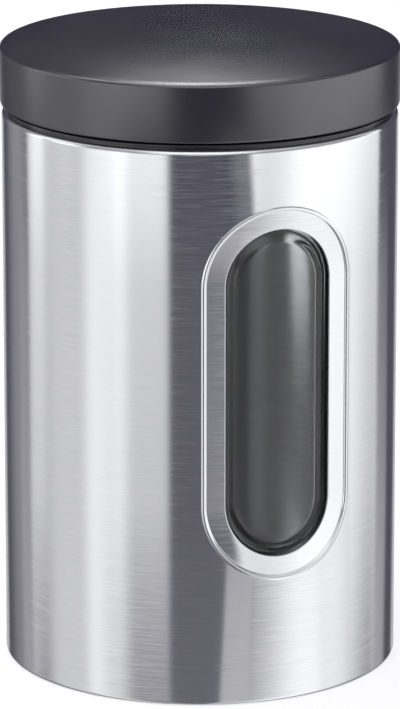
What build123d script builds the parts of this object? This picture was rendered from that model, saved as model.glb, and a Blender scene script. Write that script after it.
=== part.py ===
from build123d import *
from math import cos, radians, sin
import os

# Storage canister for dry food: a steel tube with a glazed window in its side,
# a black ring in its mouth and a black lid that lifts off.
# Millimetres. +Z is up, the origin is the centre of the face that it stands on,
# and the window faces -Y.

# Steel tube and its two rolled ends
body_diameter = 110.0
sheet = 0.6
body_height = 156.4
shoulder_radius = 1.5
shoulder_flats = 2
shoulder_flange = 3.4
foot_bevel = 1.0
foot_flange = 7.0

# Pressed bottom, seamed over the rolled foot
base_rise = 3.2
base_wall_run = 2.0
base_wall_gap = 0.6

# Window: an upright opening with round ends, in the middle of a land pressed into the tube
opening_width = 31.0
opening_above_base = 41.5
opening_below_neck = 10.9
land_width = 6.0
land_depth = 1.0
land_lip_bevel = 0.5

# Clear pane and the gasket that bonds it behind the land
gasket_thickness = 0.8
gasket_inset = 0.8
gasket_width = 4.4
pane_thickness = 1.8
pane_flange = 5.6
pane_gap = 0.25
pane_sink = 0.2
pane_edge_bevel = 0.6
bond_gap = 0.05

# Mouth ring: a flange on the shoulder and a neck inside it, held by a snap bead
collar_inset = 0.5
collar_flange_height = 1.5
collar_edge_bevel = 0.4
collar_wall = 2.2
collar_depth = 12.0
collar_fit = 0.2
bead_reach = 0.8
bead_height = 2.0

# Lid cap: a shallow dome with a deep skirt and, inside it, ribs that stand on the plug
lid_overhang = 0.4
lid_height = 17.1
dome_rise = 1.2
dome_flat_radius = 40.0
lid_wall = 1.8
lid_top_wall = 2.2
lid_top_edge_bevel = 0.6
lid_bottom_edge_bevel = 0.6
lid_gap = 0.5
rib_count = 24
rib_thickness = 1.2
rib_seat = 4.0

# Lid plug: a closed cup that reaches down the neck and carries the seal in a groove
plug_clearance = 0.9
plug_wall = 1.8
plug_depth = 11.0
plug_flange_height = 1.6
plug_flange_reach = 2.6
groove_height = 4.0
groove_depth = 1.0

# Seal: a soft ring whose lip just misses the neck when relaxed
seal_lip_gap = 0.3
seal_lip_thickness = 0.8
seal_fit = 0.1

# Sizes that follow from the ones above
body_radius = body_diameter / 2
tube_inner_radius = body_radius - sheet
land_radius = body_radius - land_depth
land_inner_radius = land_radius - sheet
gasket_radius = land_inner_radius - bond_gap
pane_flange_radius = gasket_radius - gasket_thickness - bond_gap
pane_inner_radius = pane_flange_radius - pane_thickness
lens_radius = land_radius - pane_sink
past_wall = body_radius + 5.0
near_axis = 1.0

collar_top = body_height + collar_flange_height
collar_radius = body_radius - collar_inset
neck_radius = body_radius - shoulder_flange - collar_fit
neck_bottom = body_height - collar_depth
mouth_radius = neck_radius - collar_wall
bead_top = body_height - sheet - collar_fit

opening_top = neck_bottom - opening_below_neck
opening_height = opening_top - opening_above_base
window_centre = (opening_top + opening_above_base) / 2

lid_radius = body_radius + lid_overhang
lid_bottom = collar_top + lid_gap
lid_top = lid_bottom + lid_height
lid_corner = lid_top - dome_rise
lid_ceiling = lid_corner - lid_top_wall
lid_inner_radius = lid_radius - lid_wall

plug_radius = mouth_radius - plug_clearance
plug_inner_radius = plug_radius - groove_depth - plug_wall
plug_flange_radius = plug_radius + plug_flange_reach
plug_bottom = collar_top - plug_depth
plug_top = collar_top + plug_flange_height
groove_bottom = collar_top - groove_height
groove_radius = plug_radius - groove_depth


def shoulder_points():
    """Points on the arc that rounds the tube's upper edge, from its side to its top."""
    points = []
    for step in range(shoulder_flats + 1):
        angle = radians(90 * step / shoulder_flats)
        radius = body_radius - shoulder_radius * (1 - cos(angle))
        height = body_height - shoulder_radius * (1 - sin(angle))
        points.append((radius, height))
    return points


def curved_plate(width, height, inner_radius, outer_radius):
    """A round-ended upright plate in the window's place, bent to lie between two radii."""
    with BuildPart() as plate:
        with BuildSketch(Plane.XZ):
            with Locations((0, window_centre)):
                SlotOverall(height, width, rotation=90)
        extrude(amount=past_wall)
        with Locations((0, 0, window_centre)):
            Cylinder(outer_radius, body_height, mode=Mode.INTERSECT)
            Cylinder(inner_radius, body_height, mode=Mode.SUBTRACT)
    return plate.part


def window_plate(margin, inner_radius, outer_radius):
    """A curved plate that stands out by a margin all round the window's opening."""
    width = opening_width + 2 * margin
    height = opening_height + 2 * margin
    return curved_plate(width, height, inner_radius, outer_radius)


def edges_at_radius(part, radius):
    """The window's edges that lie at one distance from the canister's axis."""
    wanted = ShapeList()
    for edge in part.edges(Select.LAST):
        middle = edge.position_at(0.5)
        if abs(Vector(middle.X, middle.Y).length - radius) < 0.01:
            wanted.append(edge)
    return wanted


# Body shell: the tube, with the land pressed in round the opening
pressed_pad = window_plate(land_width + sheet, land_inner_radius, body_radius - sheet / 2)
pressed_recess = window_plate(land_width, land_radius, past_wall)
window_cut = window_plate(0, near_axis, past_wall)

with BuildPart() as body_shell:
    with BuildSketch(Plane.XZ):
        with BuildLine():
            Polyline(
                (body_radius - foot_flange, 0),
                (body_radius - foot_bevel, 0),
                (body_radius, foot_bevel),
                *shoulder_points(),
                (body_radius - shoulder_flange, body_height),
                (body_radius - shoulder_flange, body_height - sheet),
                (tube_inner_radius, body_height - sheet),
                (tube_inner_radius, sheet),
                (body_radius - foot_flange, sheet),
                close=True,
            )
        make_face()
    revolve(axis=Axis.Z)
    add(pressed_pad)
    add(pressed_recess, mode=Mode.SUBTRACT)
    chamfer(edges_at_radius(body_shell, body_radius), length=land_lip_bevel)
    add(window_cut, mode=Mode.SUBTRACT)

# Base plate: pressed dish whose rim lies on the rolled foot
base_wall_radius = body_radius - foot_flange - base_wall_gap
with BuildPart() as base_plate:
    with BuildSketch(Plane.XZ):
        with BuildLine():
            Polyline(
                (0, base_rise),
                (base_wall_radius - base_wall_run, base_rise),
                (base_wall_radius, sheet),
                (tube_inner_radius - base_wall_gap, sheet),
            )
            offset(amount=sheet, side=Side.LEFT, kind=Kind.INTERSECTION)
        make_face()
    revolve(axis=Axis.Z)

# Mouth collar: the ring that lines the mouth and shows as a thin black line under the lid
with BuildPart() as mouth_collar:
    with BuildSketch(Plane.XZ):
        with BuildLine():
            Polyline(
                (mouth_radius, neck_bottom),
                (neck_radius, neck_bottom),
                (neck_radius, bead_top - bead_height),
                (neck_radius + bead_reach, bead_top),
                (neck_radius, bead_top),
                (neck_radius, body_height),
                (collar_radius, body_height),
                (collar_radius, collar_top),
                (mouth_radius, collar_top),
                close=True,
            )
        make_face()
    revolve(axis=Axis.Z)
    top_rims = mouth_collar.edges().filter_by(GeomType.CIRCLE).group_by(Axis.Z)[-1]
    chamfer(top_rims.sort_by(SortBy.RADIUS)[-1], length=collar_edge_bevel)

# Window gasket: a flat ring bent to the land's back
gasket_outer = gasket_inset + gasket_width
gasket_hole = window_plate(gasket_inset, near_axis, past_wall)
gasket_blank = window_plate(gasket_outer, gasket_radius - gasket_thickness, gasket_radius)
with BuildPart() as window_gasket:
    add(gasket_blank)
    add(gasket_hole, mode=Mode.SUBTRACT)

# Window pane: a moulded clear plate with a raised lens that fills the opening from behind
pane_back = window_plate(pane_flange, pane_inner_radius, pane_flange_radius)
pane_lens = window_plate(-pane_gap, pane_inner_radius, lens_radius)
lens_wall_inset = -pane_gap - pane_thickness
lens_hollow = window_plate(lens_wall_inset, near_axis, lens_radius - pane_thickness)
with BuildPart() as window_pane:
    add(pane_back)
    add(pane_lens)
    chamfer(edges_at_radius(window_pane, lens_radius), length=pane_edge_bevel)
    add(lens_hollow, mode=Mode.SUBTRACT)

# Lid cap: domed top, skirt and the ribs that carry the plug
rib_inner_radius = plug_flange_radius - rib_seat
rib_reach = lid_inner_radius + lid_wall / 2 - rib_inner_radius
rib_middle = rib_inner_radius + rib_reach / 2
with BuildPart() as lid_cap:
    with BuildSketch(Plane.XZ) as cap_section:
        with BuildLine():
            Polyline(
                (0, lid_top),
                (dome_flat_radius, lid_top),
                (lid_radius, lid_corner),
                (lid_radius, lid_bottom),
                (lid_inner_radius, lid_bottom),
                (lid_inner_radius, lid_ceiling),
                (0, lid_ceiling),
                close=True,
            )
        make_face()
        corners = cap_section.vertices()
        chamfer(corners.sort_by_distance((lid_radius, lid_corner))[0], length=lid_top_edge_bevel)
        chamfer(corners.sort_by_distance((lid_radius, lid_bottom))[0], length=lid_bottom_edge_bevel)
    revolve(axis=Axis.Z)
    with BuildSketch(Plane.XY.offset(plug_top)):
        with PolarLocations(rib_middle, rib_count):
            Rectangle(rib_reach, rib_thickness)
    extrude(until=Until.NEXT)

# Lid plug: closed cup with a flange that rests on the mouth collar
with BuildPart() as lid_plug:
    with BuildSketch(Plane.XZ):
        with BuildLine():
            Polyline(
                (0, plug_bottom),
                (plug_radius, plug_bottom),
                (plug_radius, groove_bottom),
                (groove_radius, groove_bottom),
                (groove_radius, collar_top),
                (plug_flange_radius, collar_top),
                (plug_flange_radius, plug_top),
                (plug_inner_radius, plug_top),
                (plug_inner_radius, plug_bottom + plug_wall),
                (0, plug_bottom + plug_wall),
                close=True,
            )
        make_face()
    revolve(axis=Axis.Z)

# Lid seal: ring in the groove with one lip that slopes up to the neck
seal_inner_radius = groove_radius + seal_fit
seal_lip_radius = mouth_radius - seal_lip_gap
seal_bottom = groove_bottom + seal_fit
seal_top = collar_top - seal_fit
with BuildPart() as lid_seal:
    with BuildSketch(Plane.XZ):
        with BuildLine():
            Polyline(
                (seal_inner_radius, seal_bottom),
                (seal_lip_radius, seal_top - seal_lip_thickness),
                (seal_lip_radius, seal_top),
                (seal_inner_radius, seal_top),
                close=True,
            )
        make_face()
    revolve(axis=Axis.Z)

pieces = {
    "body_shell": body_shell,
    "base_plate": base_plate,
    "mouth_collar": mouth_collar,
    "window_gasket": window_gasket,
    "window_pane": window_pane,
    "lid_cap": lid_cap,
    "lid_plug": lid_plug,
    "lid_seal": lid_seal,
}

os.makedirs("parts", exist_ok=True)
for name, piece in pieces.items():
    piece.part.label = name
    export_step(piece.part, f"parts/{name}.step")
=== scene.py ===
import logging
import math
from collections.abc import Callable, Sequence
from dataclasses import dataclass, replace
from enum import Enum
from typing import ClassVar

import bmesh
import bpy
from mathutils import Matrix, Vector


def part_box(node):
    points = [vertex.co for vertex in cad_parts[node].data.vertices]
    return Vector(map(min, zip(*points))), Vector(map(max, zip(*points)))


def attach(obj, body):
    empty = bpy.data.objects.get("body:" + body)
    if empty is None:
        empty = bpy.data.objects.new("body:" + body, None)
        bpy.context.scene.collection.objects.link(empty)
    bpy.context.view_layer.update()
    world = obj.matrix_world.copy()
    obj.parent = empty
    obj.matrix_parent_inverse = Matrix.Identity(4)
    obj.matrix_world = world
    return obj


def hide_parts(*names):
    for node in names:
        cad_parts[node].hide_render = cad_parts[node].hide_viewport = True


# Storage canister: a brushed steel tube with a window in its side, and a black lid that lifts off.
# Metres, in the CAD frame: +Z is up, the canister stands on z = 0 and the window faces -Y.

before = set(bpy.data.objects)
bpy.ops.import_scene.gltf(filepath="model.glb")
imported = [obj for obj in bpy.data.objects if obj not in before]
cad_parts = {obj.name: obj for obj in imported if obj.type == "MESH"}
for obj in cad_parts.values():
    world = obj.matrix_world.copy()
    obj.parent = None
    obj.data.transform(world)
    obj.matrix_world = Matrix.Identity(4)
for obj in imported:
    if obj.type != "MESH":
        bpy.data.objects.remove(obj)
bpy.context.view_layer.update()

MM = 0.001
TURN = 2 * math.pi
QUARTER = math.pi / 2

# Two places closer than this are taken as one.
NEAR = 0.005 * MM
# Vertices closer than this are joined.
DOUBLES = 0.001 * MM
# A section that crosses the axis starts and ends this far from it, and its two ends are filled.
HUB = 1.0 * MM
# Edges sharper than this stay sharp.
SMOOTH_ANGLE = math.radians(32)

Point = tuple[float, float]
Colour = tuple[float, float, float]
Direction = tuple[float, float, float]
Piece = bpy.types.Object
Material = bpy.types.Material
Socket = bpy.types.NodeSocket

log = logging.getLogger("canister")


class Body(Enum):
    """The two bodies that pieces ride on."""

    CANISTER = "canister"
    LID = "lid"


class Slot(Enum):
    """The record's material slots, one named by each kind of new piece; building the pieces doesn't read
    them.
    """

    SHELL = "shell_steel"
    BASE = "base_steel"
    COLLAR = "collar_plastic"
    LID = "lid_plastic"
    PLUG = "plug_plastic"
    SEAL = "seal_rubber"
    PANE = "clear_plastic"


def node_radius(node: str) -> float:
    """Finds how far a CAD node reaches from the canister's axis.

    Args:
        node: the node's name in the frame.

    Returns:
        The radius in metres.
    """
    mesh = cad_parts[node].data
    return max(math.hypot(vertex.co.x, vertex.co.y) for vertex in mesh.vertices)


# Sections


@dataclass(frozen=True)
class Corner:
    """A corner of a section, with the radius of its round."""

    across: float
    up: float
    radius: float = 0.0


def rounded(corners: Sequence[Corner], closed: bool, steps: int = 6) -> list[Point]:
    """Draws each corner's round as an arc.

    Args:
        corners: the section's corners in order.
        closed: whether the last corner joins the first.
        steps: how many straight runs each arc has.

    Returns:
        The section's points in order.
    """
    points: list[Point] = []
    for index, corner in enumerate(corners):
        here = Vector((corner.across, corner.up))
        at_end = not closed and index in (0, len(corners) - 1)
        if corner.radius == 0 or at_end:
            points.append((here.x, here.y))
            continue
        before = corners[index - 1]
        after = corners[(index + 1) % len(corners)]
        back = (Vector((before.across, before.up)) - here).normalized()
        ahead = (Vector((after.across, after.up)) - here).normalized()
        half_angle = back.angle(ahead) / 2
        centre = here + (back + ahead).normalized() * corner.radius / math.sin(half_angle)
        first = here + back * corner.radius / math.tan(half_angle) - centre
        last = here + ahead * corner.radius / math.tan(half_angle) - centre
        for step in range(steps + 1):
            spoke = first.slerp(last, step / steps) * corner.radius
            points.append((centre.x + spoke.x, centre.y + spoke.y))
    return points


# Modelling


class Shaper:
    """A new piece that starts as a primitive and is shaped in edit mode."""

    def __init__(self, name: str, primitive: Callable[..., object], **settings: object) -> None:
        """Adds the primitive and selects all of it in edit mode.

        Args:
            name: the piece's name.
            primitive: the operator that adds it.
            settings: the operator's settings by name.
        """
        bpy.ops.object.select_all(action="DESELECT")
        primitive(**settings)
        self.piece = bpy.context.active_object
        self.piece.name = name
        self.piece.data.name = name
        bpy.ops.object.transform_apply(location=True, rotation=True, scale=True)
        bpy.ops.object.mode_set(mode="EDIT")
        bpy.ops.mesh.select_mode(type="VERT")
        self.select_all()

    def move(self, x: float = 0.0, y: float = 0.0, z: float = 0.0) -> None:
        """Moves what is selected."""
        bpy.ops.transform.translate(value=(x, y, z))

    def scale(
        self, x: float = 1.0, y: float = 1.0, z: float = 1.0, about: Sequence[float] = (0, 0, 0)
    ) -> None:
        """Scales what is selected about a point."""
        bpy.ops.transform.resize(value=(x, y, z), center_override=tuple(about))

    def extrude(self, x: float = 0.0, y: float = 0.0, z: float = 0.0) -> None:
        """Extrudes the selected edges and leaves the new ones selected."""
        bpy.ops.mesh.extrude_region_move(TRANSFORM_OT_translate={"value": (x, y, z)})

    def fill(self) -> None:
        """Fills the selected loop with a face."""
        bpy.ops.mesh.edge_face_add()

    def draw_out(self, path: Sequence[Point]) -> None:
        """Draws the selected ring out along a path, as on a lathe.

        Args:
            path: each ring's distance from the axis and its height, from the selected ring on.
        """
        radius, height = path[0]
        for next_radius, next_height in path[1:]:
            self.extrude(z=next_height - height)
            growth = next_radius / radius
            self.scale(x=growth, y=growth)
            radius, height = next_radius, next_height

    def select(self, test: Callable[[Vector], bool]) -> None:
        """Selects vertices by their place, with the edges between them.

        Args:
            test: says of a vertex's place whether it is selected.
        """
        shape = bmesh.from_edit_mesh(self.piece.data)
        for vertex in shape.verts:
            vertex.select_set(False)
        for vertex in shape.verts:
            if test(vertex.co):
                vertex.select_set(True)
        shape.select_flush_mode()
        bmesh.update_edit_mesh(self.piece.data)

    def select_all(self) -> None:
        """Selects the whole mesh."""
        bpy.ops.mesh.select_all(action="SELECT")

    def modify(self, kind: str, settings: dict[str, object]) -> None:
        """Adds a modifier and applies it.

        Args:
            kind: the modifier's type.
            settings: its settings by name.
        """
        bpy.ops.object.mode_set(mode="OBJECT")
        modifier = self.piece.modifiers.new(kind.title(), kind)
        for name, value in settings.items():
            setattr(modifier, name, value)
        bpy.ops.object.modifier_apply(modifier=modifier.name)
        bpy.ops.object.mode_set(mode="EDIT")

    def close(self) -> None:
        """Joins doubles and turns all faces outwards."""
        self.select_all()
        bpy.ops.mesh.remove_doubles(threshold=DOUBLES)
        bpy.ops.mesh.normals_make_consistent(inside=False)

    def finish(self, smooth_angle: float = SMOOTH_ANGLE) -> Piece:
        """Leaves edit mode and shades the piece smooth.

        Args:
            smooth_angle: edges sharper than this stay sharp.

        Returns:
            The finished piece.
        """
        bpy.ops.mesh.select_all(action="DESELECT")
        bpy.ops.object.mode_set(mode="OBJECT")
        bpy.ops.object.shade_smooth_by_angle(angle=smooth_angle)
        self.piece.select_set(False)
        return self.piece


@dataclass
class SubAssembly:
    """Pieces that stand in for one CAD node."""

    finish: Material

    node: ClassVar[str]
    body: ClassVar[Body]
    slot: ClassVar[Slot]

    def build(self) -> list[Piece]:
        """Models the pieces and gives them."""
        raise NotImplementedError

    def dress(self) -> None:
        """Builds the pieces, gives them their finish and puts them in place of their CAD node."""
        for piece in self.build():
            piece.data.materials.clear()
            piece.data.materials.append(self.finish)
            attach(piece, self.body.value)
            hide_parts(self.node)
            log.info("%s: %d faces, rides on %s", piece.name, len(piece.data.polygons), self.body.value)


def dress_node(node: str, finish: Material) -> None:
    """Gives a CAD node that stays its finish.

    Args:
        node: the node's name in the frame.
        finish: its material.
    """
    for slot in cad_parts[node].material_slots:
        slot.material = finish
    log.info("%s: CAD node, dressed", node)


# Pieces that start flat and are rolled round the canister's axis


@dataclass(frozen=True)
class WindowShape:
    """The window's place on the tube: an upright opening with round ends.

    A piece round it starts flat, with x round the tube, y its depth below the tube's surface and z up.
    Once it is rolled, the half width bend_width is true at the depth bend_depth.
    """

    tube_radius: float
    centre: float
    half_straight: float
    half_width: float
    sides: int = 96
    bend_depth: float = 0.5 * MM
    bend_width: float = 18.5 * MM

    @property
    def tilt(self) -> tuple[float, float, float]:
        """The first circle's turn, which stands it up with no vertex level with its centre."""
        return (QUARTER, TURN / self.sides / 2, 0)

    @property
    def stretch(self) -> float:
        """How much longer a width is along the tube than across it."""
        radius = self.tube_radius - self.bend_depth
        return self.tube_radius * math.asin(self.bend_width / radius) / self.bend_width

    def side_line(self, reach: float) -> float:
        """The x of a loop's straight side, from the loop's distance to the window's middle line."""
        return reach * math.cos(TURN / self.sides / 2) * self.stretch

    def start(self, name: str, reach: float) -> Shaper:
        """Starts a piece with a circle that becomes a loop round the window."""
        circle = bpy.ops.mesh.primitive_circle_add
        return Shaper(name, circle, vertices=self.sides, radius=reach, rotation=self.tilt)

    def draw(self, shaper: Shaper, steps: Sequence[Point]) -> None:
        """Draws the circle out or in.

        Args:
            shaper: the piece, whose circle has the first step's reach.
            steps: each loop's distance from the window's middle line and its depth.
        """
        reach, depth = steps[0]
        shaper.move(y=depth)
        for next_reach, next_depth in steps[1:]:
            shaper.extrude(y=next_depth - depth)
            growth = next_reach / reach
            shaper.scale(x=growth, z=growth)
            reach, depth = next_reach, next_depth

    def part(self, shaper: Shaper) -> None:
        """Turns the circles into upright loops with straight sides.

        Args:
            shaper: the piece, whose circles are drawn.
        """
        shaper.select_all()
        shaper.scale(x=self.stretch)
        shaper.select(lambda point: point.z > 0)
        shaper.move(z=self.centre + self.half_straight)
        shaper.select(lambda point: point.z < 0)
        shaper.move(z=self.centre - self.half_straight)

    def roll(self, shaper: Shaper) -> None:
        """Rolls the flat piece round the canister's axis.

        Args:
            shaper: the flat piece.
        """
        bpy.ops.object.mode_set(mode="OBJECT")
        width = shaper.piece.dimensions.x
        bpy.ops.object.mode_set(mode="EDIT")
        angle = width / self.tube_radius
        shaper.modify("SIMPLE_DEFORM", {"deform_method": "BEND", "deform_axis": "Z", "angle": angle})
        shaper.select_all()
        shaper.move(y=-self.tube_radius)


@dataclass
class SteelTube(SubAssembly):
    """The tube: a rolled sheet with its window, the land round it, its shoulder and its foot."""

    window: WindowShape
    height: float
    sheet: float = 0.6 * MM
    land_width: float = 6.0 * MM
    land_depth: float = 1.0 * MM
    land_rim_depth: float = 0.55 * MM
    land_stops: tuple[float, ...] = (0.25, 0.5, 0.75)
    bead_height: float = 0.2 * MM
    crest_radius: float = 0.65 * MM
    fade_radius: float = 0.6 * MM
    root_radius: float = 0.3 * MM
    cut_radius: float = 0.25 * MM
    shoulder_radius: float = 1.5 * MM
    shoulder_flange: float = 3.4 * MM
    foot_radius: float = 1.2 * MM
    foot_flange: float = 7.0 * MM
    columns: int = 100
    arc_steps: int = 6
    fade_steps: int = 3

    node = "body_shell"
    body = Body.CANISTER
    slot = Slot.SHELL

    def land_steps(self) -> list[Point]:
        """Draws the section from the opening's edge over the land and the bead round it to the tube.

        Returns:
            Each loop's distance from the window's middle line and its depth.
        """
        opening = self.window.half_width
        steps: list[Point] = []
        for step in range(self.arc_steps + 1):
            angle = QUARTER * step / self.arc_steps
            reach = opening + self.cut_radius * (1 - math.cos(angle))
            steps.append((reach, self.land_depth + self.cut_radius * (1 - math.sin(angle))))
        wall_radii = self.root_radius + self.crest_radius
        wall_slope = math.acos(1 - (self.land_rim_depth + self.bead_height) / wall_radii)
        fade_radii = self.crest_radius + self.fade_radius
        fade_slope = math.acos(1 - self.bead_height / fade_radii)
        crest = opening + self.land_width
        root_start = crest - wall_radii * math.sin(wall_slope)
        tube_start = crest + fade_radii * math.sin(fade_slope)
        for part in self.land_stops:
            reach = (1 - part) * (opening + self.cut_radius) + part * root_start
            steps.append((reach, (1 - part) * self.land_depth + part * self.land_rim_depth))
        for step in range(self.arc_steps + 1):
            angle = wall_slope * step / self.arc_steps
            reach = root_start + self.root_radius * math.sin(angle)
            steps.append((reach, self.land_rim_depth - self.root_radius * (1 - math.cos(angle))))
        for step in range(1, 2 * self.arc_steps + 1):
            angle = (wall_slope + fade_slope) * step / (2 * self.arc_steps) - wall_slope
            reach = crest + self.crest_radius * math.sin(angle)
            steps.append((reach, self.crest_radius * (1 - math.cos(angle)) - self.bead_height))
        for step in range(1, self.fade_steps + 1):
            angle = fade_slope * (1 - step / self.fade_steps)
            reach = tube_start - self.fade_radius * math.sin(angle)
            steps.append((reach, self.fade_radius * (math.cos(angle) - 1)))
        return steps

    def build(self) -> list[Piece]:
        """Models the tube.

        Returns:
            The tube.
        """
        window = self.window
        steps = self.land_steps()
        lip_reach = steps[-1][0]
        shaper = window.start("steel_tube", steps[0][0])
        window.draw(shaper, steps)
        window.part(shaper)
        top = self.height - self.shoulder_radius
        bottom = self.foot_radius
        shaper.select(lambda point: abs(point.y) < NEAR and point.z > window.centre)
        shaper.extrude()
        shaper.scale(z=0, about=(0, 0, top))
        shaper.select(lambda point: abs(point.y) < NEAR and point.z < window.centre)
        shaper.extrude()
        shaper.scale(z=0, about=(0, 0, bottom))
        side = window.side_line(lip_reach)
        stride = (math.pi * window.tube_radius - side) / self.columns
        for direction in (-1, 1):
            shaper.select(lambda point: abs(point.x - direction * side) < NEAR and abs(point.y) < NEAR)
            for _ in range(self.columns):
                shaper.extrude(x=direction * stride)
        self.roll_edge(shaper, top, 1, self.shoulder_radius, self.shoulder_flange)
        self.roll_edge(shaper, bottom, -1, self.foot_radius, self.foot_flange)
        window.roll(shaper)
        shaper.close()
        shaper.modify("SOLIDIFY", {"thickness": self.sheet, "offset": -1.0, "use_even_offset": True})
        return [shaper.finish()]

    def roll_edge(self, shaper: Shaper, start: float, turn: int, radius: float, flange: float) -> None:
        """Turns one end of the tube inwards.

        Args:
            shaper: the tube.
            start: the height where the round starts.
            turn: 1 at the top end, -1 at the bottom end.
            radius: the round's radius.
            flange: how far the turned edge reaches inwards.
        """
        shaper.select(lambda point: abs(point.z - start) < NEAR)
        depth = 0.0
        rise = 0.0
        for step in range(1, self.arc_steps + 1):
            angle = QUARTER * step / self.arc_steps
            next_depth = radius * (1 - math.cos(angle))
            next_rise = radius * math.sin(angle)
            shaper.extrude(y=next_depth - depth, z=turn * (next_rise - rise))
            depth, rise = next_depth, next_rise
        shaper.extrude(y=flange - radius)


@dataclass
class ClearPane(SubAssembly):
    """The moulded pane: a flange behind the land and a raised lens in the opening."""

    window: WindowShape
    flange_depth: float = 2.5 * MM
    wall: float = 1.8 * MM
    flange: float = 5.6 * MM
    gap: float = 0.25 * MM
    lens_depth: float = 1.2 * MM
    lens_slope: float = 3.2 * MM
    lens_stops: tuple[float, ...] = (0.0, 0.2, 0.4, 0.6, 0.8)
    hollow_inset: float = 0.9 * MM
    flange_round: float = 0.3 * MM
    middle: float = 0.8 * MM
    arc_steps: int = 10

    node = "window_pane"
    body = Body.CANISTER
    slot = Slot.PANE

    def steps(self) -> list[Point]:
        """Draws the section from the lens's front over the flange to the hollow behind the lens.

        Returns:
            Each loop's distance from the window's middle line and its depth.
        """
        edge = self.window.half_width - self.gap
        rise = self.flange_depth - self.lens_depth
        flat = edge - self.lens_slope - self.middle
        front = []
        hollow = []
        for part in self.lens_stops:
            front.append((self.middle + part * flat, self.lens_depth))
            hollow.append((self.middle + part * (flat - self.hollow_inset), self.lens_depth + self.wall))
        for step in range(self.arc_steps + 1):
            part = step / self.arc_steps
            reach = edge - self.lens_slope * (1 - part)
            depth = self.lens_depth + rise * (1 - math.cos(math.pi * part)) / 2
            front.append((reach, depth))
            hollow.append((reach - self.hollow_inset, depth + self.wall))
        outer = self.window.half_width + self.flange
        back_depth = self.flange_depth + self.wall
        rim = [
            (outer - self.flange_round, self.flange_depth),
            (outer, self.flange_depth + self.flange_round),
            (outer, back_depth - self.flange_round),
            (outer - self.flange_round, back_depth),
        ]
        return [*front, *rim, *reversed(hollow)]

    def build(self) -> list[Piece]:
        """Models the pane.

        Returns:
            The pane.
        """
        window = self.window
        steps = self.steps()
        shaper = window.start("window_lens", steps[0][0])
        window.draw(shaper, steps)
        window.part(shaper)
        side = window.side_line(self.middle)
        peak = window.centre + window.half_straight + self.middle
        for depth in (steps[0][1], steps[-1][1]):
            shaper.select(
                lambda point: abs(point.y - depth) < NEAR
                and abs(point.x) < side + NEAR
                and window.centre < point.z < peak + NEAR
            )
            shaper.extrude()
            shaper.scale(z=-1, about=(0, 0, window.centre))
        window.roll(shaper)
        shaper.close()
        return [shaper.finish()]


# Turned pieces


@dataclass
class TurnedPiece(SubAssembly):
    """A piece that is drawn out from a ring along its section, as on a lathe."""

    radius: float

    name: ClassVar[str]
    closed: ClassVar[bool] = False
    sides: ClassVar[int] = 192

    def section(self) -> list[Corner]:
        """Gives the section's corners, as distance from the axis and height."""
        raise NotImplementedError

    def build(self) -> list[Piece]:
        """Models the piece, and fills the two ends of a section that isn't closed.

        Returns:
            The piece.
        """
        points = rounded(self.section(), self.closed)
        radius, height = points[0]
        shaper = Shaper(self.name, bpy.ops.mesh.primitive_circle_add, vertices=self.sides, radius=radius)
        shaper.move(z=height)
        shaper.draw_out([*points, points[0]] if self.closed else points)
        if not self.closed:
            shaper.fill()
            shaper.select(
                lambda point: abs(point.xy.length - radius) < NEAR and abs(point.z - height) < NEAR
            )
            shaper.fill()
        shaper.close()
        return [shaper.finish()]


@dataclass
class Bottom(TurnedPiece):
    """The pressed bottom: a dish whose rim lies on the rolled foot."""

    low: float = 0.6 * MM
    rise: float = 2.6 * MM
    sheet: float = 0.6 * MM
    wall_top: float = 45.4 * MM
    wall_foot: float = 47.4 * MM
    wall_shift: float = 0.3
    bend: float = 0.9 * MM
    rim_round: float = 0.2 * MM

    name = "pressed_bottom"
    node = "base_plate"
    body = Body.CANISTER
    slot = Slot.BASE

    def section(self) -> list[Corner]:
        """Draws the dish from the middle of its underside round its rim to the middle of its top.

        Returns:
            The section's corners.
        """
        under = self.low + self.rise
        shift = self.wall_shift * self.sheet
        return [
            Corner(HUB, under),
            Corner(self.wall_top, under, self.bend),
            Corner(self.wall_foot, self.low, self.bend),
            Corner(self.radius, self.low, self.rim_round),
            Corner(self.radius, self.low + self.sheet, self.rim_round),
            Corner(self.wall_foot + shift, self.low + self.sheet, self.bend),
            Corner(self.wall_top + shift, under + self.sheet, self.bend),
            Corner(HUB, under + self.sheet),
        ]


@dataclass
class MouthRing(TurnedPiece):
    """The black ring in the mouth: a flange on the shoulder, a neck and a snap bead."""

    low: float
    top: float
    shoulder: float
    neck_radius: float = 51.4 * MM
    mouth_radius: float = 49.2 * MM
    bead_reach: float = 0.8 * MM
    bead_height: float = 2.0 * MM
    sheet_and_fit: float = 0.8 * MM
    edge_round: float = 0.45 * MM
    small_round: float = 0.2 * MM
    lip_round: float = 0.3 * MM
    groove_depth: float = 0.85 * MM
    groove_height: float = 0.7 * MM

    name = "mouth_ring"
    closed = True
    node = "mouth_collar"
    body = Body.CANISTER
    slot = Slot.COLLAR

    def section(self) -> list[Corner]:
        """Draws the ring's section round.

        Returns:
            The section's corners.
        """
        bead_top = self.shoulder - self.sheet_and_fit
        groove_radius = self.radius - self.groove_depth
        groove_top = self.shoulder + self.groove_height
        return [
            Corner(self.mouth_radius, self.low, self.small_round),
            Corner(self.neck_radius, self.low, self.edge_round),
            Corner(self.neck_radius, bead_top - self.bead_height, self.small_round),
            Corner(self.neck_radius + self.bead_reach, bead_top, self.small_round),
            Corner(self.neck_radius, bead_top),
            Corner(self.neck_radius, self.shoulder),
            Corner(groove_radius, self.shoulder),
            Corner(groove_radius, groove_top, self.small_round),
            Corner(self.radius, groove_top, self.lip_round),
            Corner(self.radius, self.top, self.edge_round),
            Corner(self.mouth_radius, self.top, self.edge_round),
        ]


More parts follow.
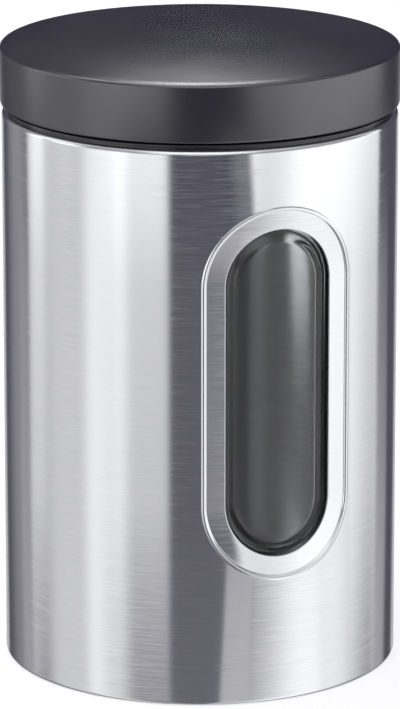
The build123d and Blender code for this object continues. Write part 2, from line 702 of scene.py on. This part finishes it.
@dataclass
class LidCap(TurnedPiece):
    """The lid's outer moulding: a shallow dome, a deep skirt and the ribs under them."""

    low: float
    top: float
    rib_foot: float
    dome_rise: float = 1.2 * MM
    dome_steps: int = 14
    wall: float = 1.8 * MM
    top_wall: float = 2.2 * MM
    top_edge_round: float = 0.8 * MM
    bottom_edge_round: float = 0.7 * MM
    inner_edge_round: float = 0.3 * MM
    ceiling_round: float = 0.6 * MM
    rib_count: int = 24
    rib_thickness: float = 1.2 * MM
    rib_inner_radius: float = 46.9 * MM
    rib_edge: float = 0.2 * MM
    rib_edge_steps: int = 2
    rib_smooth_angle: float = math.radians(50)

    name = "lid_shell"
    sides = 256
    node = "lid_cap"
    body = Body.LID
    slot = Slot.LID

    @property
    def ceiling(self) -> float:
        """The height of the flat face under the top."""
        return self.top - self.dome_rise - self.top_wall

    def section(self) -> list[Corner]:
        """Draws the cap from the middle of its dome round its skirt to the middle of its underside.

        Returns:
            The section's corners.
        """
        inner = self.radius - self.wall
        dome_edge = self.radius - self.top_edge_round
        dome = []
        for step in range(self.dome_steps):
            reach = (step + 1) / (self.dome_steps + 1)
            dome.append(Corner(reach * dome_edge, self.top - self.dome_rise * reach**2))
        return [
            Corner(HUB, self.top),
            *dome,
            Corner(self.radius, self.top - self.dome_rise, self.top_edge_round),
            Corner(self.radius, self.low, self.bottom_edge_round),
            Corner(inner, self.low, self.inner_edge_round),
            Corner(inner, self.ceiling, self.ceiling_round),
            Corner(HUB, self.ceiling),
        ]

    def ribs(self) -> Piece:
        """Models one rib and copies it round the lid.

        Returns:
            The ring of ribs.
        """
        reach = self.radius - self.wall / 2 - self.rib_inner_radius
        height = self.ceiling + self.top_wall / 2 - self.rib_foot
        middle = (self.rib_inner_radius + reach / 2, 0, self.rib_foot + height / 2)
        size = (reach, self.rib_thickness, height)
        shaper = Shaper("lid_ribs", bpy.ops.mesh.primitive_cube_add, size=1, location=middle, scale=size)
        bpy.ops.mesh.bevel(offset=self.rib_edge, segments=self.rib_edge_steps, affect="EDGES")
        shaper.select_all()
        copies = self.rib_count - 1
        angle = TURN * copies / self.rib_count
        bpy.ops.mesh.spin(steps=copies, dupli=True, angle=angle, center=(0, 0, 0), axis=(0, 0, 1))
        return shaper.finish(self.rib_smooth_angle)

    def build(self) -> list[Piece]:
        """Models the cap and its ribs and gives them."""
        return [*super().build(), self.ribs()]


@dataclass
class LidPlug(TurnedPiece):
    """The closed cup under the lid: a flange that rests on the ring, and a groove for the seal."""

    low: float
    top: float
    flange_reach: float = 2.6 * MM
    flange_height: float = 1.6 * MM
    wall: float = 1.8 * MM
    groove_depth: float = 1.0 * MM
    groove_height: float = 4.0 * MM
    foot_round: float = 1.0 * MM
    edge_round: float = 0.3 * MM
    small_round: float = 0.12 * MM

    name = "plug_cup"
    node = "lid_plug"
    body = Body.LID
    slot = Slot.PLUG

    def section(self) -> list[Corner]:
        """Draws the cup from the middle of its underside round its flange to the middle of its floor.

        Returns:
            The section's corners.
        """
        barrel = self.radius - self.flange_reach
        groove = barrel - self.groove_depth
        inner = groove - self.wall
        seat = self.top - self.flange_height
        groove_foot = seat - self.groove_height
        return [
            Corner(HUB, self.low),
            Corner(barrel, self.low, self.foot_round),
            Corner(barrel, groove_foot, self.small_round),
            Corner(groove, groove_foot, self.small_round),
            Corner(groove, seat, self.small_round),
            Corner(self.radius, seat, self.edge_round),
            Corner(self.radius, self.top, self.edge_round),
            Corner(inner, self.top, self.edge_round),
            Corner(inner, self.low + self.wall, self.foot_round),
            Corner(HUB, self.low + self.wall),
        ]


@dataclass
class LidSeal(TurnedPiece):
    """The soft ring in the plug's groove, with one lip that slopes up to the neck."""

    low: float
    top: float
    reach: float = 1.5 * MM
    lip_thickness: float = 0.8 * MM
    small_round: float = 0.1 * MM
    lip_round: float = 0.25 * MM

    name = "seal_ring"
    closed = True
    node = "lid_seal"
    body = Body.LID
    slot = Slot.SEAL

    def section(self) -> list[Corner]:
        """Draws the ring's section round.

        Returns:
            The section's corners.
        """
        inner = self.radius - self.reach
        return [
            Corner(inner, self.low, self.small_round),
            Corner(self.radius, self.top - self.lip_thickness, self.lip_round),
            Corner(self.radius, self.top, self.lip_round),
            Corner(inner, self.top, self.small_round),
        ]


# Finishes


class Graph:
    """A node tree that is being filled."""

    def __init__(self, tree: bpy.types.NodeTree) -> None:
        """Empties the tree."""
        self.tree = tree
        self.tree.nodes.clear()

    def add(self, kind: str, inputs: dict | None = None, settings: dict | None = None) -> bpy.types.Node:
        """Adds a node.

        Args:
            kind: the node's type.
            inputs: each input's name or number, with the value or the socket that it takes.
            settings: the node's settings by name.

        Returns:
            The node.
        """
        node = self.tree.nodes.new(kind)
        for name, value in (settings or {}).items():
            setattr(node, name, value)
        for name, value in (inputs or {}).items():
            if isinstance(value, Socket):
                self.tree.links.new(value, node.inputs[name])
            else:
                node.inputs[name].default_value = value
        return node

    def math(self, operation: str, *values: object) -> Socket:
        """Adds a Math node and gives its result."""
        return self.add("ShaderNodeMath", dict(enumerate(values)), {"operation": operation}).outputs[0]

    def vector(self, operation: str, *values: object) -> bpy.types.Node:
        """Adds a Vector Math node and gives it."""
        return self.add("ShaderNodeVectorMath", dict(enumerate(values)), {"operation": operation})

    def split(self, vector: Socket) -> Sequence[Socket]:
        """Splits a vector and gives its X, Y and Z."""
        return self.add("ShaderNodeSeparateXYZ", {0: vector}).outputs

    def combine(self, *parts: Socket) -> Socket:
        """Makes a vector of its parts and gives it."""
        return self.add("ShaderNodeCombineXYZ", dict(enumerate(parts))).outputs[0]

    def noise(self, place: object, scale: object, detail: float, roughness: float = 0.5) -> object:
        """Adds a noise texture and gives its value."""
        inputs = {"Vector": place, "Scale": scale, "Detail": detail, "Roughness": roughness}
        return self.add("ShaderNodeTexNoise", inputs).outputs[0]

    def blend(self, amount: object, low: Colour, high: Colour) -> Socket:
        """Adds a mix of two colours and gives its result."""
        inputs = {0: amount, 6: (*low, 1), 7: (*high, 1)}
        return self.add("ShaderNodeMix", inputs, {"data_type": "RGBA"}).outputs[2]

    def ramp(
        self, value: object, start: float, end: float, low: float, high: float, smooth: bool = False
    ) -> Socket:
        """Adds a ramp from one level to another, which is flat beyond its two ends.

        Args:
            value: what the ramp follows.
            start: the value where the ramp starts.
            end: the value where it ends.
            low: its level up to the start.
            high: its level from the end on.
            smooth: whether it eases in and out.

        Returns:
            The ramp's level.
        """
        easing = "SMOOTHSTEP" if smooth else "LINEAR"
        inputs = {0: value, 1: start, 2: end, 3: low, 4: high}
        return self.add("ShaderNodeMapRange", inputs, {"interpolation_type": easing}).outputs[0]

    def effect(self, tree: bpy.types.NodeTree, inputs: dict) -> Sequence[Socket]:
        """Places a shared node group and gives what it puts out."""
        return self.add("ShaderNodeGroup", inputs, {"node_tree": tree}).outputs

    def bump(self, strength: float, depth: float, height: Socket) -> Socket:
        """Adds a bump that follows a height and gives its normal."""
        inputs = {"Strength": strength, "Distance": depth, "Height": height}
        return self.add("ShaderNodeBump", inputs).outputs[0]


def new_group(name: str, numbers: dict[str, float], outputs: Sequence[str]) -> Graph:
    """Starts a shared node group, which takes a place and some numbers and puts out numbers.

    Args:
        name: the group's name.
        numbers: the value of each number that it takes.
        outputs: the names of what it puts out.

    Returns:
        The group's graph, with its sockets made.
    """
    tree = bpy.data.node_groups.new(name, "ShaderNodeTree")
    tree.interface.new_socket("Place", in_out="INPUT", socket_type="NodeSocketVector")
    for label, value in numbers.items():
        socket = tree.interface.new_socket(label, in_out="INPUT", socket_type="NodeSocketFloat")
        socket.default_value = value
    for label in outputs:
        tree.interface.new_socket(label, in_out="OUTPUT", socket_type="NodeSocketFloat")
    return Graph(tree)


@dataclass
class SharedEffects:
    """The node groups that several finishes use."""

    fine_share: float = 0.65
    coarse_share: float = 0.35
    coarseness: float = 0.6
    line_detail: float = 3.0
    line_roughness: float = 0.6
    tone_range: Point = (0.36, 0.64)
    scratch_range: Point = (0.52, 0.68)
    broad_scale: float = 0.02

    def __post_init__(self) -> None:
        """Builds each group once."""
        self.brush_lines = self.make_brush_lines()
        self.fine_grain = self.make_fine_grain()

    def make_brush_lines(self) -> bpy.types.NodeTree:
        """Builds the lines that a brush leaves: long in two directions and fine in the third.

        Returns:
            The group, with the lines' tone, scratches and height.
        """
        numbers = {"Pitch": 3000.0, "Length": 60.0}
        graph = new_group("brush_lines", numbers, ("Tone", "Scratch", "Height"))
        given = graph.add("NodeGroupInput").outputs
        place = graph.split(given["Place"])
        layers = []
        for coarseness in (1.0, self.coarseness):
            along = graph.math("MULTIPLY", given["Length"], coarseness)
            across = graph.math("MULTIPLY", given["Pitch"], coarseness)
            stretched = graph.combine(
                graph.math("MULTIPLY", place[0], along),
                graph.math("MULTIPLY", place[1], along),
                graph.math("MULTIPLY", place[2], across),
            )
            layers.append(graph.noise(stretched, 1.0, self.line_detail, self.line_roughness))
        coarse = graph.math("MULTIPLY", layers[1], self.coarse_share)
        both = graph.math("MULTIPLY_ADD", layers[0], self.fine_share, coarse)
        tone = graph.ramp(both, *self.tone_range, 0.0, 1.0)
        scratch = graph.ramp(layers[0], *self.scratch_range, 0.0, 1.0)
        graph.add("NodeGroupOutput", {"Tone": tone, "Scratch": scratch, "Height": layers[0]})
        return graph.tree

    def make_fine_grain(self) -> bpy.types.NodeTree:
        """Builds the fine grain of a moulded surface.

        Returns:
            The group, with the grain's broad tone and its height.
        """
        graph = new_group("fine_grain", {"Scale": 2500.0}, ("Tone", "Height"))
        given = graph.add("NodeGroupInput").outputs
        fine = graph.noise(given["Place"], given["Scale"], 2.0)
        broad_scale = graph.math("MULTIPLY", given["Scale"], self.broad_scale)
        broad = graph.noise(given["Place"], broad_scale, 1.0)
        graph.add("NodeGroupOutput", {"Tone": broad, "Height": fine})
        return graph.tree


def new_material(name: str) -> tuple[Material, Graph]:
    """Starts a material.

    Args:
        name: the material's name.

    Returns:
        The material and its graph.
    """
    material = bpy.data.materials.new(name)
    material.use_nodes = True
    return material, Graph(material.node_tree)


def object_place(graph: Graph) -> Socket:
    """Adds the piece's own coordinates and gives them."""
    return graph.add("ShaderNodeTexCoord").outputs["Object"]


@dataclass(frozen=True)
class BrushedSteel:
    """Stainless steel with brush lines, which run round the tube or, on a flat piece, in circles."""

    name: str
    dark: Colour
    light: Colour
    roughness: float
    line_roughness: float
    scratch_roughness: float = 0.05
    spun: bool = False
    seam: bool = False
    seam_width: float = 0.7 * MM
    seam_roughness: float = 0.15
    seam_tone: float = -0.8
    pitch: float = 5200.0
    length: float = 100.0
    bump: float = 0.03
    bump_depth: float = 0.02 * MM
    anisotropy: float = 0.9
    anisotropy_turn: float = 0.25

    def build(self, effects: SharedEffects) -> Material:
        """Builds the material.

        Args:
            effects: the shared node groups.

        Returns:
            The material.
        """
        material, graph = new_material(self.name)
        place = object_place(graph)
        if self.spun:
            parts = graph.split(place)
            out = graph.vector("LENGTH", graph.combine(parts[0], parts[1])).outputs["Value"]
            place = graph.combine(parts[0], parts[1], out)
        inputs = {"Place": place, "Pitch": self.pitch, "Length": self.length}
        lines = graph.effect(effects.brush_lines, inputs)
        tone = lines["Tone"]
        rough = graph.ramp(tone, 0.0, 1.0, self.roughness, self.line_roughness)
        rough = graph.math("MULTIPLY_ADD", lines["Scratch"], self.scratch_roughness, rough)
        if self.seam:
            parts = graph.split(place)
            near = graph.math("LESS_THAN", graph.math("ABSOLUTE", parts[0]), self.seam_width / 2)
            weld = graph.math("MULTIPLY", near, graph.math("GREATER_THAN", parts[1], 0.0))
            rough = graph.math("MULTIPLY_ADD", weld, self.seam_roughness, rough)
            tone = graph.math("MULTIPLY_ADD", weld, self.seam_tone, tone)
        tangent = graph.add("ShaderNodeTangent", settings={"direction_type": "RADIAL", "axis": "Z"})
        steel = graph.add(
            "ShaderNodeBsdfPrincipled",
            {
                "Base Color": graph.blend(tone, self.dark, self.light),
                "Metallic": 1.0,
                "Roughness": rough,
                "Anisotropic": self.anisotropy,
                "Anisotropic Rotation": self.anisotropy_turn,
                "Tangent": tangent.outputs[0],
                "Normal": graph.bump(self.bump, self.bump_depth, lines["Height"]),
            },
        )
        graph.add("ShaderNodeOutputMaterial", {"Surface": steel.outputs[0]})
        return material


@dataclass(frozen=True)
class Moulding:
    """A moulded plastic or rubber with a fine grain, which may be glossier above a height."""

    name: str
    dark: Colour
    light: Colour
    roughness: float
    roughness_spread: float = 0.04
    gloss: float = 0.5
    index: float = 1.5
    polished_above: float | None = None
    polished_roughness: float = 0.175
    polish_fade: float = 1.0 * MM
    grain_scale: float = 2500.0
    grain: float = 0.1
    grain_depth: float = 0.02 * MM

    def build(self, effects: SharedEffects) -> Material:
        """Builds the material.

        Args:
            effects: the shared node groups.

        Returns:
            The material.
        """
        material, graph = new_material(self.name)
        place = object_place(graph)
        grain = graph.effect(effects.fine_grain, {"Place": place, "Scale": self.grain_scale})
        tone = grain["Tone"]
        low_rough = self.roughness - self.roughness_spread
        high_rough = self.roughness + self.roughness_spread
        rough = graph.ramp(tone, 0.0, 1.0, low_rough, high_rough)
        if self.polished_above is not None:
            height = graph.split(place)[2]
            start = self.polished_above
            above = graph.ramp(height, start, start + self.polish_fade, 0.0, 1.0)
            change = graph.math("MULTIPLY", above, self.polished_roughness - self.roughness)
            rough = graph.math("ADD", rough, change)
        plastic = graph.add(
            "ShaderNodeBsdfPrincipled",
            {
                "Base Color": graph.blend(tone, self.dark, self.light),
                "Roughness": rough,
                "Specular IOR Level": self.gloss,
                "IOR": self.index,
                "Normal": graph.bump(self.grain, self.grain_depth, grain["Height"]),
            },
        )
        graph.add("ShaderNodeOutputMaterial", {"Surface": plastic.outputs[0]})
        return material


@dataclass(frozen=True)
class ClearPlastic:
    """Clear moulded plastic, which lets light through to the inside."""

    name: str
    colour: Colour
    index: float = 1.49
    roughness: float = 0.02
    haze_scale: float = 60.0

    def build(self) -> Material:
        """Builds the material.

        Returns:
            The material.
        """
        material, graph = new_material(self.name)
        haze = graph.noise(object_place(graph), self.haze_scale, 1.0)
        clear = graph.add(
            "ShaderNodeBsdfPrincipled",
            {
                "Base Color": (*self.colour, 1),
                "Roughness": graph.ramp(haze, 0.0, 1.0, self.roughness, self.roughness * 2),
                "IOR": self.index,
                "Transmission Weight": 1.0,
            },
        )
        see_through = graph.add("ShaderNodeBsdfTransparent", {0: (*self.colour, 1)})
        shadow = graph.add("ShaderNodeLightPath").outputs["Is Shadow Ray"]
        shaders = {0: shadow, 1: clear.outputs[0], 2: see_through.outputs[0]}
        mixed = graph.add("ShaderNodeMixShader", shaders)
        graph.add("ShaderNodeOutputMaterial", {"Surface": mixed.outputs[0]})
        return material


TUBE_STEEL = BrushedSteel(
    name="brushed_steel",
    dark=(0.79, 0.795, 0.81),
    light=(0.85, 0.855, 0.87),
    roughness=0.13,
    line_roughness=0.18,
    scratch_roughness=0.085,
    seam=True,
)
BOTTOM_STEEL = BrushedSteel(
    name="spun_steel",
    dark=(0.62, 0.63, 0.66),
    light=(0.72, 0.72, 0.75),
    roughness=0.28,
    line_roughness=0.42,
    spun=True,
)
LID_BLACK = Moulding(
    name="lid_black",
    dark=(0.012, 0.010, 0.019),
    light=(0.016, 0.014, 0.024),
    roughness=0.28,
    gloss=1.0,
    index=1.66,
    polished_above=173.5 * MM,
)
RING_BLACK = Moulding(
    name="ring_black",
    dark=(0.012, 0.010, 0.018),
    light=(0.016, 0.014, 0.024),
    roughness=0.18,
    gloss=0.8,
)
GASKET_GREY = Moulding(
    name="gasket_grey",
    dark=(0.28, 0.28, 0.28),
    light=(0.33, 0.33, 0.32),
    roughness=0.7,
)
SEAL_SILICONE = Moulding(
    name="seal_silicone",
    dark=(0.60, 0.60, 0.58),
    light=(0.68, 0.68, 0.66),
    roughness=0.55,
)
PANE_PLASTIC = ClearPlastic(name="clear_plastic", colour=(0.97, 0.98, 0.975))


# Studio


@dataclass(frozen=True)
class Softbox:
    """A tall soft light a long way off, to one side of the canister.

    It adds the strength upper above the one elevation, lower below the other, and a blend between them.
    """

    azimuth: float
    half_width: float
    softness: float
    upper: float
    lower: float
    upper_elevation: float = -6.0
    lower_elevation: float = -24.0


@dataclass(frozen=True)
class Spot:
    """A round soft light a long way off, or a darker patch where its strength is below 0."""

    azimuth: float
    elevation: float
    radius: float
    softness: float
    strength: float


@dataclass
class Studio:
    """The plain pale floor and backdrop, and the soft lights round the canister."""

    facing: float
    softboxes: Sequence[Softbox]
    spots: Sequence[Spot]
    light_colour: Colour = (1.0, 1.0, 1.005)
    gap_strength: float = 0.085
    gap_tint: Colour = (0.003, 0.0, 0.024)
    overhead_strength: float = 1.0
    overhead_start: float = 38.0
    overhead_full: float = 68.0
    front_azimuth: float = 20.0
    front_half_width: float = 100.0
    front_softness: float = 10.0
    front_gap: float = 0.72
    front_gap_start: float = 4.0
    front_gap_full: float = 14.0
    floor_radius: float = 6.0
    floor_sides: int = 128
    wall_height: float = 6.0
    sweep_radius: float = 2.5
    sweep_steps: int = 24
    floor_colour: Colour = (0.86, 0.86, 0.87)
    floor_shade: float = 0.99
    floor_cloud_scale: float = 3.0
    floor_roughness: float = 0.9
    floor_gloss: float = 0.1
    floor_glow: float = 0.45

    def aim(self, azimuth: float, elevation: float = 0.0) -> Direction:
        """Finds the direction to a light.

        Args:
            azimuth: its angle from the camera's side of the canister, positive to the camera's right.
            elevation: its angle above the level.

        Returns:
            The direction, one metre long.
        """
        turn = math.radians(azimuth + self.facing)
        rise = math.radians(elevation)
        return (math.sin(turn) * math.cos(rise), -math.cos(turn) * math.cos(rise), math.sin(rise))

    def glow(
        self, graph: Graph, direction: object, aim: Direction, radius: float, softness: float
    ) -> Socket:
        """Adds a glow that is 1 round its aim and falls to 0 at its soft edge.

        Args:
            graph: the world's graph.
            direction: the direction that is looked in.
            aim: the direction of the glow's middle.
            radius: the angle from the middle to the middle of the soft edge.
            softness: half the angle that the soft edge takes.

        Returns:
            The glow.
        """
        away = graph.math("ARCCOSINE", graph.vector("DOT_PRODUCT", direction, aim).outputs["Value"])
        inner = math.radians(radius - softness)
        outer = math.radians(radius + softness)
        return graph.ramp(away, inner, outer, 1.0, 0.0, smooth=True)

    def add_lights(self) -> None:
        """Fills the world with the softboxes, the dark gaps between them and the light overhead."""
        world = bpy.data.worlds.new("studio")
        world.use_nodes = True
        bpy.context.scene.world = world
        graph = Graph(world.node_tree)
        direction = graph.add("ShaderNodeTexCoord").outputs["Generated"]
        parts = graph.split(direction)
        elevation = graph.math("ARCSINE", parts[2])
        level = graph.vector("NORMALIZE", graph.combine(parts[0], parts[1])).outputs[0]

        total: object = self.gap_strength
        for box in self.softboxes:
            glow = self.glow(graph, level, self.aim(box.azimuth), box.half_width, box.softness)
            low_end = math.radians(box.lower_elevation)
            high_end = math.radians(box.upper_elevation)
            strength = graph.ramp(elevation, low_end, high_end, box.lower, box.upper)
            total = graph.math("MULTIPLY_ADD", glow, strength, total)

        front_aim = self.aim(self.front_azimuth)
        front = self.glow(graph, level, front_aim, self.front_half_width, self.front_softness)
        gap_start = math.radians(self.front_gap_start)
        gap_full = math.radians(self.front_gap_full)
        gap = graph.ramp(elevation, gap_start, gap_full, 0.0, self.front_gap, smooth=True)
        kept = graph.math("SUBTRACT", 1.0, graph.math("MULTIPLY", front, gap))
        total = graph.math("MULTIPLY", total, kept)

        overhead_start = math.radians(self.overhead_start)
        overhead_full = math.radians(self.overhead_full)
        overhead = graph.ramp(elevation, overhead_start, overhead_full, 0.0, 1.0, smooth=True)
        total = graph.math("MULTIPLY", total, graph.math("SUBTRACT", 1.0, overhead))
        total = graph.math("MULTIPLY_ADD", overhead, self.overhead_strength, total)

        for spot in self.spots:
            aim = self.aim(spot.azimuth, spot.elevation)
            glow = self.glow(graph, direction, aim, spot.radius, spot.softness)
            total = graph.math("MULTIPLY_ADD", glow, spot.strength, total)

        total = graph.math("MAXIMUM", total, 0.0)
        lit = graph.add("ShaderNodeVectorMath", {0: self.light_colour, 3: total}, {"operation": "SCALE"})
        colour = graph.vector("ADD", lit.outputs[0], self.gap_tint).outputs[0]
        background = graph.add("ShaderNodeBackground", {"Color": colour, "Strength": 1.0})
        graph.add("ShaderNodeOutputWorld", {"Surface": background.outputs[0]})

    def paper(self) -> Material:
        """Builds the floor's paper, which glows a little where the camera sees it.

        Returns:
            The material.
        """
        material, graph = new_material("studio_paper")
        cloud = graph.noise(object_place(graph), self.floor_cloud_scale, 1.0)
        shaded = tuple(self.floor_shade * part for part in self.floor_colour)
        paper = graph.add(
            "ShaderNodeBsdfPrincipled",
            {
                "Base Color": graph.blend(cloud, shaded, self.floor_colour),
                "Roughness": self.floor_roughness,
                "Specular IOR Level": self.floor_gloss,
            },
        )
        rays = graph.add("ShaderNodeLightPath").outputs
        seen = graph.math("MAXIMUM", rays["Is Camera Ray"], rays["Is Transmission Ray"])
        seen = graph.math("MAXIMUM", seen, rays["Is Glossy Ray"])
        strength = graph.math("MULTIPLY", seen, self.floor_glow)
        glow = graph.add("ShaderNodeEmission", {"Color": (1, 1, 1, 1), "Strength": strength})
        both = graph.add("ShaderNodeAddShader", {0: paper.outputs[0], 1: glow.outputs[0]})
        graph.add("ShaderNodeOutputMaterial", {"Surface": both.outputs[0]})
        return material

    def add_floor(self) -> None:
        """Models the floor and the wall that it sweeps up into."""
        corners = [
            Corner(HUB, 0),
            Corner(self.floor_radius, 0, self.sweep_radius),
            Corner(self.floor_radius, self.wall_height),
        ]
        section = rounded(corners, closed=False, steps=self.sweep_steps)
        circle = bpy.ops.mesh.primitive_circle_add
        shaper = Shaper("studio_floor", circle, vertices=self.floor_sides, radius=HUB)
        shaper.draw_out([(HUB, 0.0), *section[1:]])
        shaper.select(lambda point: point.xy.length < 2 * HUB)
        shaper.fill()
        shaper.select_all()
        bpy.ops.mesh.normals_make_consistent(inside=True)
        floor = shaper.finish()
        floor.data.materials.append(self.paper())
        floor.visible_diffuse = False
        floor.visible_glossy = False
        floor.visible_shadow = False


@dataclass(frozen=True)
class ProductCamera:
    """The camera, at the photograph's viewing angle."""

    azimuth: float
    elevation: float = 15.2
    distance: float = 1.5
    target_height: float = 85.2 * MM
    focal_length_px: float = 5345.0
    picture_height_px: float = 709.0
    sensor: float = 36.0
    nearest: float = 0.1
    farthest: float = 30.0

    def add(self) -> None:
        """Makes the camera and gives it to the scene."""
        data = bpy.data.cameras.new("product_camera")
        data.sensor_width = self.sensor
        data.lens = self.focal_length_px / self.picture_height_px * self.sensor
        data.clip_start = self.nearest
        data.clip_end = self.farthest
        camera = bpy.data.objects.new("product_camera", data)
        bpy.context.scene.collection.objects.link(camera)
        turn = math.radians(self.azimuth)
        rise = math.radians(self.elevation)
        back = Vector(
            (math.sin(turn) * math.cos(rise), -math.cos(turn) * math.cos(rise), math.sin(rise))
        )
        camera.location = Vector((0, 0, self.target_height)) + back * self.distance
        camera.rotation_euler = (-back).to_track_quat("-Z", "Y").to_euler()
        bpy.context.scene.camera = camera


CAMERA_AZIMUTH = -24.0

# All angles are in degrees, and azimuths are measured as in Studio.aim.
SOFTBOXES = (
    Softbox(azimuth=-133, half_width=12, softness=10, upper=0.22, lower=0.14),
    Softbox(azimuth=-108, half_width=6, softness=4, upper=0.40, lower=-0.10),
    Softbox(azimuth=-68, half_width=50, softness=2.5, upper=0.79, lower=0.27),
    Softbox(azimuth=-80, half_width=20, softness=8, upper=-0.22, lower=0.34),
    Softbox(azimuth=-57, half_width=13, softness=6, upper=0.36, lower=0.34),
    Softbox(azimuth=-34, half_width=15, softness=5, upper=0.31, lower=-0.08),
    Softbox(azimuth=5, half_width=23, softness=3, upper=-0.01, lower=0.07),
    Softbox(
        azimuth=20.5, half_width=8.5, softness=1.5,
        upper=-0.03, lower=0.42, upper_elevation=-17.2, lower_elevation=-18.6,
    ),
    Softbox(
        azimuth=54, half_width=25, softness=2,
        upper=0.0, lower=0.32, upper_elevation=-22.5, lower_elevation=-27,
    ),
    Softbox(
        azimuth=134, half_width=9, softness=3,
        upper=0.0, lower=0.32, upper_elevation=-13, lower_elevation=-16.5,
    ),
    Softbox(
        azimuth=-124, half_width=7, softness=4,
        upper=0.0, lower=0.17, upper_elevation=-13, lower_elevation=-16,
    ),
    Softbox(azimuth=77.5, half_width=48.5, softness=2.5, upper=1.01, lower=0.13),
    Softbox(azimuth=77, half_width=30, softness=20, upper=0.24, lower=0.72),
    Softbox(
        azimuth=180, half_width=19, softness=3,
        upper=-0.03, lower=0.48, upper_elevation=-2, lower_elevation=-9,
    ),
)
SPOTS = (
    Spot(azimuth=180, elevation=21, radius=1.2, softness=1.0, strength=11.0),
    Spot(azimuth=187, elevation=38, radius=5, softness=2, strength=9.0),
    Spot(azimuth=-84, elevation=14, radius=12, softness=8, strength=0.9),
    Spot(azimuth=0, elevation=42, radius=27, softness=8, strength=0.8),
    Spot(azimuth=25, elevation=-1, radius=8, softness=4, strength=0.18),
    Spot(azimuth=44, elevation=-3, radius=10, softness=6, strength=-0.15),
)

WINDOW_HALF_WIDTH = 15.5 * MM


def main() -> None:
    """Builds the canister, its studio and its camera."""
    logging.basicConfig(level=logging.INFO, format="%(message)s")
    effects = SharedEffects()
    black = RING_BLACK.build(effects)

    _, tube_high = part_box("body_shell")
    lid_low, lid_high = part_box("lid_cap")
    plug_low, plug_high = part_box("lid_plug")
    seal_low, seal_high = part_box("lid_seal")
    ring_low, ring_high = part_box("mouth_collar")
    pane_low, pane_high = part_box("window_pane")

    half_height = (pane_high.z - pane_low.z) / 2 - ClearPane.flange
    window = WindowShape(
        tube_radius=node_radius("body_shell"),
        centre=(pane_high.z + pane_low.z) / 2,
        half_straight=half_height - WINDOW_HALF_WIDTH,
        half_width=WINDOW_HALF_WIDTH,
    )
    lens_window = replace(window, bend_depth=ClearPane.lens_depth, bend_width=WINDOW_HALF_WIDTH)
    SteelTube(TUBE_STEEL.build(effects), window, tube_high.z).dress()
    ClearPane(PANE_PLASTIC.build(), lens_window).dress()
    Bottom(BOTTOM_STEEL.build(effects), node_radius("base_plate")).dress()
    MouthRing(black, node_radius("mouth_collar"), ring_low.z, ring_high.z, tube_high.z).dress()
    LidCap(LID_BLACK.build(effects), node_radius("lid_cap"), lid_low.z, lid_high.z, plug_high.z).dress()
    LidPlug(black, node_radius("lid_plug"), plug_low.z, plug_high.z).dress()
    LidSeal(SEAL_SILICONE.build(effects), node_radius("lid_seal"), seal_low.z, seal_high.z).dress()
    dress_node("window_gasket", GASKET_GREY.build(effects))

    studio = Studio(CAMERA_AZIMUTH, SOFTBOXES, SPOTS)
    studio.add_lights()
    studio.add_floor()
    ProductCamera(CAMERA_AZIMUTH).add()
    view_settings = bpy.context.scene.view_settings
    view_settings.view_transform = "Standard"


if __name__ == "__main__":
    main()
